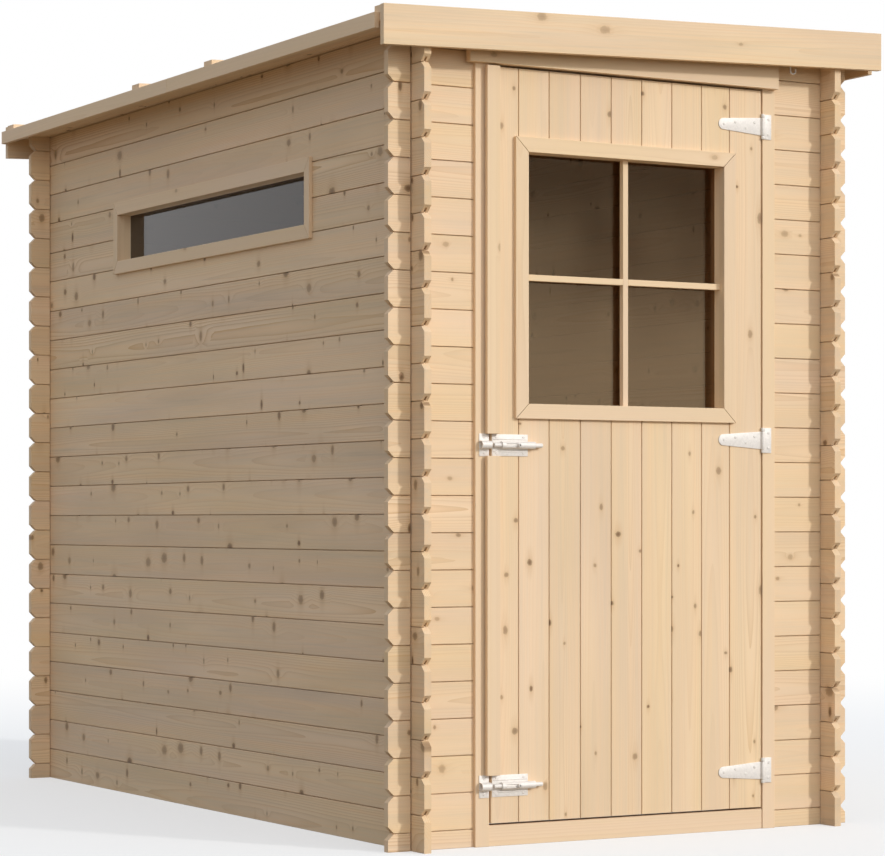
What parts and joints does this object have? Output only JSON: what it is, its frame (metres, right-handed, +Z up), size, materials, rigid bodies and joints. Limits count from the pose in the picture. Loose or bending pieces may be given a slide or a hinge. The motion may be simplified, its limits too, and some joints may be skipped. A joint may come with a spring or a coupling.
{
  "type": "wooden garden shed",
  "caption": "Small wooden garden shed of interlocking boards with a low single-slope roof, a glazed plank door on T-hinges with barrel bolts, and a long narrow side window.",
  "frame": {"origin": "on the ground at the middle of the roof's outline, which is also the middle of the footprint", "axes": "+Z up, the door faces -Y, +X to the right of someone who looks at the door, the roof rises towards +X"},
  "size_m": [1.455, 2.403, 2.0228],
  "materials": {
    "wall_boards": "planed, untreated",
    "trim_boards": "planed, untreated",
    "roof_boards": "planed, untreated",
    "door_boards": "planed, untreated",
    "glass": "clear",
    "zinc": "bright zinc plated"
  },
  "bodies": {
    "shed": {"left_wall_lower": "wall_boards", "left_wall_front": "wall_boards", "left_wall_rear": "wall_boards", "left_wall_upper": "wall_boards", "right_wall": "wall_boards", "back_wall": "wall_boards", "front_wall_left": "wall_boards", "front_wall_right": "wall_boards", "front_wall_over_door": "wall_boards", "left_wall_log_ends": "wall_boards", "right_wall_log_ends": "wall_boards", "front_wall_log_ends": "wall_boards", "back_wall_log_ends": "wall_boards", "door_post_left": "trim_boards", "door_post_right": "trim_boards", "door_header": "trim_boards", "door_threshold": "trim_boards", "side_window_trim": "trim_boards", "side_window_frame": "trim_boards", "front_fascia": "trim_boards", "back_fascia": "trim_boards", "left_eave_trim": "trim_boards", "right_fascia": "trim_boards", "roof_panel_front": "roof_boards", "roof_panel_rear": "roof_boards", "roof_battens": "roof_boards", "side_window_glass": "glass", "hinge_plates": "zinc", "bolt_keepers": "zinc", "eave_hook": "zinc"},
    "door": {"door_left_board": "door_boards", "door_right_board": "door_boards", "door_upper_boards": "door_boards", "door_lower_boards": "door_boards", "door_ledges": "door_boards", "door_brace": "door_boards", "door_cover_strips": "trim_boards", "door_window_trim": "trim_boards", "door_window_frame": "trim_boards", "door_window_glass": "glass", "hinge_straps": "zinc", "bolt_plates": "zinc"},
    "upper_bolt": {"bolt_rod_upper": "zinc"},
    "lower_bolt": {"bolt_rod_lower": "zinc"}
  },
  "joints": [
    {"name": "door_hinge", "type": "hinge", "parent": "shed", "child": "door", "pos_m": [0.399, -1.137, 0.957], "axis": [0, 0, 1], "range_deg": [0, 150]},
    {"name": "upper_bolt_slide", "type": "slide", "parent": "door", "child": "upper_bolt", "axis": [-1, 0, 0], "range_m": [0, 0.03]},
    {"name": "lower_bolt_slide", "type": "slide", "parent": "door", "child": "lower_bolt", "axis": [-1, 0, 0], "range_m": [0, 0.03]}
  ]
}
